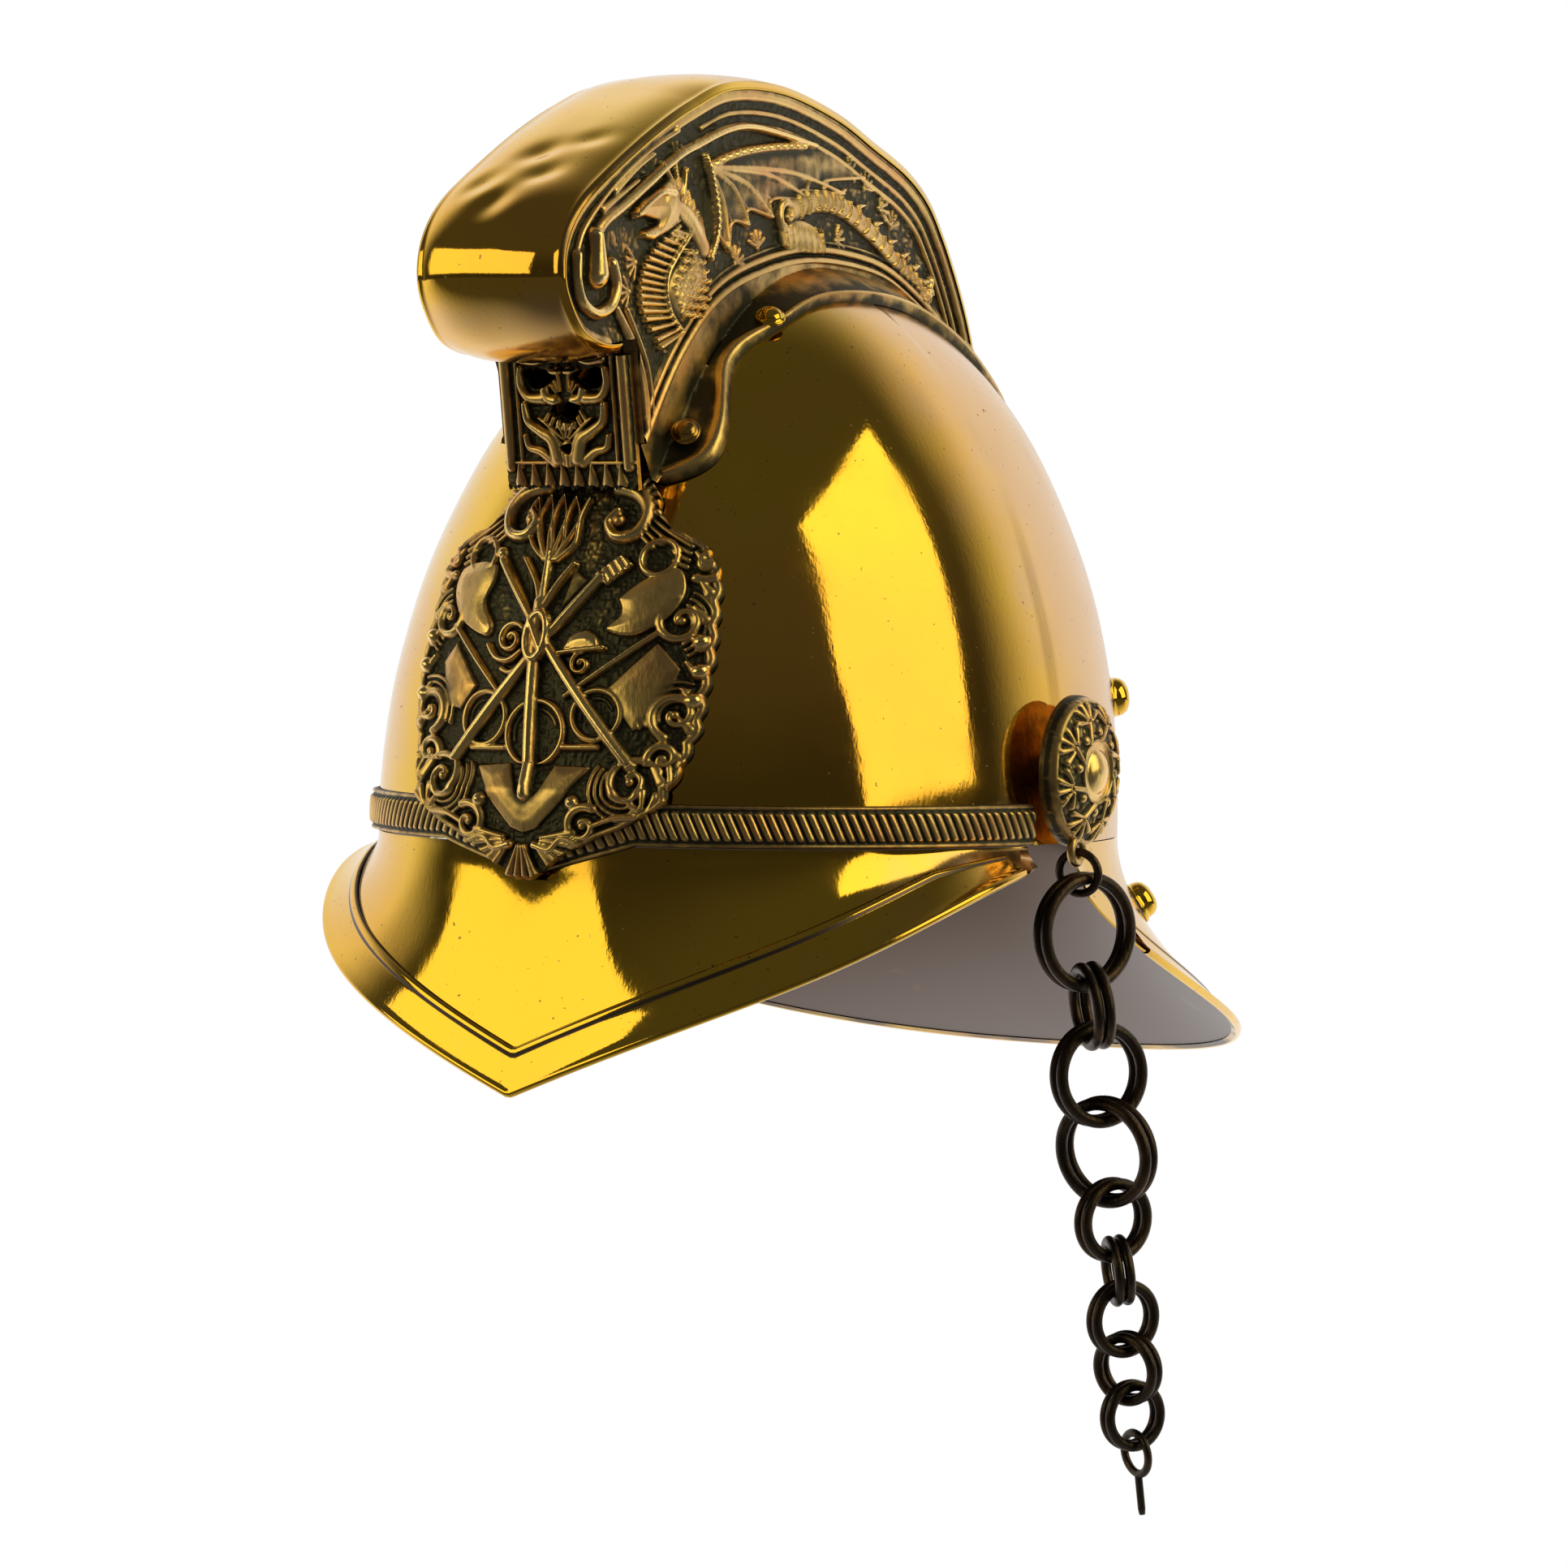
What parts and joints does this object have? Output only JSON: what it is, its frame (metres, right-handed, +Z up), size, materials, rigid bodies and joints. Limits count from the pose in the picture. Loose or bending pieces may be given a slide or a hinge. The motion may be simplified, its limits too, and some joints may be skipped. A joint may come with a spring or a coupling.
{
  "type": "brass firefighter helmet",
  "caption": "Brass parade helmet with tall combed crest, pierced neck, relief badge, rope band, two peaks and a hanging ring chain.",
  "frame": {"origin": "middle of the head opening, level with the rope band at the ears", "axes": "+Z up to the comb, -Y to the front, +X to the wearer's left"},
  "size_m": [0.2386, 0.3496, 0.4],
  "materials": {
    "polished_brass": "polished sheet brass with light tarnish",
    "cast_brass": "antiqued cast relief, dark in the hollows, worn bright on top",
    "dark_bronze": "dark oxidised wire"
  },
  "bodies": {
    "root": {"skull": "polished_brass", "front_peak": "polished_brass", "front_peak_edge": "polished_brass", "rear_guard": "polished_brass", "rear_guard_edge": "polished_brass", "rope_band": "cast_brass", "comb_side_left": "cast_brass", "comb_side_right": "cast_brass", "comb_top_strip": "polished_brass", "comb_rear_cap": "dark_bronze", "comb_neck_plate": "cast_brass", "badge_plate": "cast_brass", "ear_boss_left": "cast_brass", "ear_boss_right": "cast_brass", "skull_stud_left": "polished_brass", "guard_stud_left": "polished_brass", "skull_stud_right": "polished_brass", "guard_stud_right": "polished_brass", "comb_rivet_front_left": "polished_brass", "comb_rivet_middle_left": "polished_brass", "comb_rivet_rear_left": "polished_brass", "comb_rivet_front_right": "polished_brass", "comb_rivet_middle_right": "polished_brass", "comb_rivet_rear_right": "polished_brass", "chain_hook": "dark_bronze", "chain_ring_1a": "dark_bronze", "chain_ring_1b": "dark_bronze", "chain_ring_2a": "dark_bronze", "chain_ring_2b": "dark_bronze", "chain_ring_3a": "dark_bronze", "chain_ring_3b": "dark_bronze", "chain_ring_4a": "dark_bronze", "chain_ring_4b": "dark_bronze", "chain_ring_5a": "dark_bronze", "chain_ring_5b": "dark_bronze", "chain_ring_6a": "dark_bronze", "chain_ring_6b": "dark_bronze", "chain_ring_7a": "dark_bronze", "chain_ring_7b": "dark_bronze", "chain_ring_8a": "dark_bronze", "chain_ring_8b": "dark_bronze", "chain_ring_9a": "dark_bronze", "chain_ring_9b": "dark_bronze", "chain_end_pin": "dark_bronze"}
  },
  "joints": []
}
